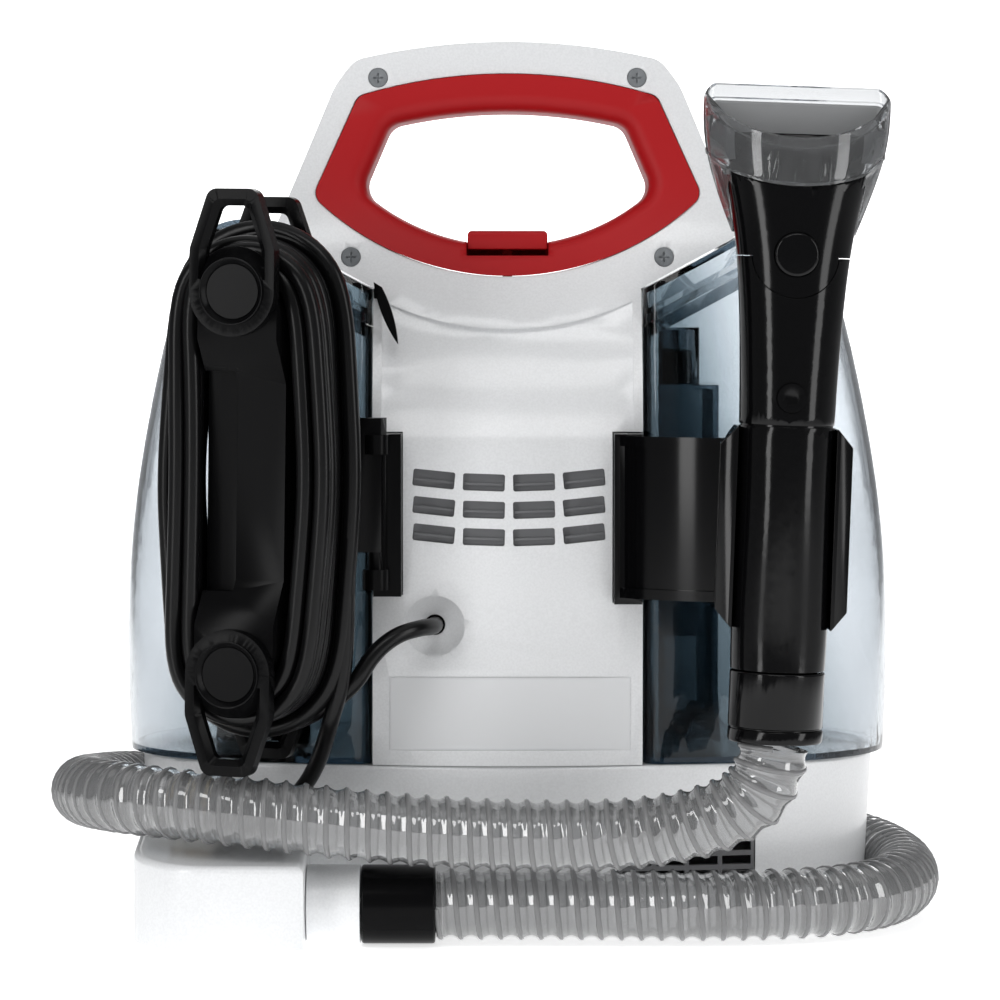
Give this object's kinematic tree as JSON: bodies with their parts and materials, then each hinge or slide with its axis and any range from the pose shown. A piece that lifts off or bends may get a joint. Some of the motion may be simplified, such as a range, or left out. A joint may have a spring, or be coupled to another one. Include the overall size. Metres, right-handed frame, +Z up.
{
  "type": "portable carpet cleaner",
  "caption": "Portable spot cleaner with two lift-off tanks, a looped carry handle, a swivelling cord reel, a ribbed suction hose and a clip-on spray tool.",
  "frame": {"origin": "on the floor under the middle of the oval base", "axes": "+Z up, -Y towards the machine's rear with the cord, hose and tool, +X to the right when the rear is looked at"},
  "size_m": [0.3599, 0.2593, 0.353],
  "materials": {
    "white_shell": "glossy moulded plastic with a faint pearl grain",
    "dark_pan": "fine-textured moulded plastic",
    "grey_louvre": "satin moulded plastic",
    "screw_grey": "grey coated steel",
    "label_grey": "blank satin film label",
    "red_grip": "soft-touch overmould, satin",
    "black_satin": "satin moulded plastic",
    "motor_steel": "plain steel",
    "rotor_brass": "turned brass",
    "hose_clear": "translucent ribbed PVC",
    "smoke_tank": "smoky blue-grey transparent plastic",
    "float_black": "moulded plastic",
    "cord_black": "black PVC cord, satin",
    "blade_brass": "plated contact blades",
    "black_gloss": "polished moulded plastic",
    "clear_head": "clear moulded plastic",
    "grey_liner": "satin grey moulded plastic"
  },
  "bodies": {
    "machine": {"base_pan": "dark_pan", "base_shroud": "white_shell", "exhaust_grille": "grey_louvre", "rear_cover": "white_shell", "front_cover": "white_shell", "cover_screws": "screw_grey", "label_plate": "label_grey", "vent_louvre": "grey_louvre", "grip_ring": "red_grip", "power_switch": "black_satin", "port_housing": "white_shell", "port_pipe": "white_shell", "hose_cuff": "black_satin", "hose": "hose_clear", "motor_mount": "black_satin", "fan_housing": "black_satin", "motor_can": "motor_steel", "pump_body": "black_satin", "reel_frame": "black_satin", "reel_bracket": "black_satin", "cord_coil": "cord_black", "cord_gland": "black_satin", "cord_lead": "cord_black", "cord_tail": "cord_black", "plug_body": "cord_black", "plug_blades": "blade_brass", "plug_hook": "black_satin", "tool_clip": "black_gloss", "tool_bracket": "black_gloss"},
    "button": {"power_button": "red_grip"},
    "impeller": {"motor_shaft": "motor_steel"},
    "pump_wheel": {"pump_rotor": "rotor_brass"},
    "clean_tank": {"clean_tank": "smoke_tank", "clean_tank_lid": "smoke_tank"},
    "clean_cap": {"clean_tank_cap": "black_satin"},
    "dirty_tank": {"dirty_tank": "smoke_tank", "dirty_tank_lid": "smoke_tank", "dirty_riser": "smoke_tank"},
    "float": {"dirty_float": "float_black"},
    "hook_top": {"cord_hook_top": "black_satin", "hook_cap_top": "black_satin"},
    "hook_bottom": {"cord_hook_bottom": "black_satin", "hook_cap_bottom": "black_satin"},
    "tool": {"hose_collar": "black_gloss", "wand_body": "black_gloss", "trigger_pin": "motor_steel", "spray_valve": "black_gloss", "pivot_cap": "black_gloss"},
    "head": {"head_window": "clear_head", "head_body": "black_gloss", "head_liner": "grey_liner", "spray_tip": "black_gloss"},
    "release": {"release_button": "black_gloss"},
    "trigger": {"spray_trigger": "black_gloss"}
  },
  "joints": [
    {"name": "power_press", "type": "slide", "parent": "machine", "child": "button", "axis": [0, 0, -1], "range_m": [0, 0.0025], "stiffness_N_per_m": 400},
    {"name": "impeller_spin", "type": "hinge", "parent": "machine", "child": "impeller", "pos_m": [0, 0, 0.1], "axis": [0, 0, 1], "continuous": true},
    {"name": "pump_spin", "type": "hinge", "parent": "machine", "child": "pump_wheel", "pos_m": [0, 0.05, 0.087], "axis": [0, 1, 0], "continuous": true},
    {"name": "clean_tank_lift", "type": "slide", "parent": "machine", "child": "clean_tank", "axis": [-0.8829, 0, 0.4695], "range_m": [0, 0.06]},
    {"name": "clean_cap_turn", "type": "hinge", "parent": "clean_tank", "child": "clean_cap", "pos_m": [-0.1, 0, 0.07], "axis": [0, 0, 1], "range_deg": [0, 90]},
    {"name": "dirty_tank_lift", "type": "slide", "parent": "machine", "child": "dirty_tank", "axis": [0.8829, 0, 0.4695], "range_m": [0, 0.06]},
    {"name": "float_rise", "type": "slide", "parent": "dirty_tank", "child": "float", "axis": [0, 0, 1], "range_m": [0, 0.006]},
    {"name": "hook_top_swivel", "type": "hinge", "parent": "machine", "child": "hook_top", "pos_m": [-0.10236, -0.12358, 0.25299], "axis": [-0.2924, -0.9563, 0], "range_deg": [0, 180]},
    {"name": "hook_bottom_swivel", "type": "hinge", "parent": "machine", "child": "hook_bottom", "pos_m": [-0.10453, -0.12292, 0.10801], "axis": [-0.2924, -0.9563, 0], "range_deg": [0, 180]},
    {"name": "tool_unclip", "type": "slide", "parent": "machine", "child": "tool", "axis": [0.0174, -0.9998, -0.0006], "range_m": [0, 0.04]},
    {"name": "head_lift", "type": "slide", "parent": "tool", "child": "head", "axis": [0.0349, 0, 0.9994], "range_m": [0, 0.03]},
    {"name": "release_press", "type": "slide", "parent": "head", "child": "release", "axis": [-0.0174, 0.9998, 0.0006], "range_m": [0, 0.0015], "stiffness_N_per_m": 500},
    {"name": "trigger_squeeze", "type": "hinge", "parent": "tool", "child": "trigger", "pos_m": [0.10626, -0.107, 0.24177], "axis": [-0.9992, -0.0175, 0.0349], "range_deg": [0, 6], "stiffness_Nm_per_rad": 0.5}
  ]
}
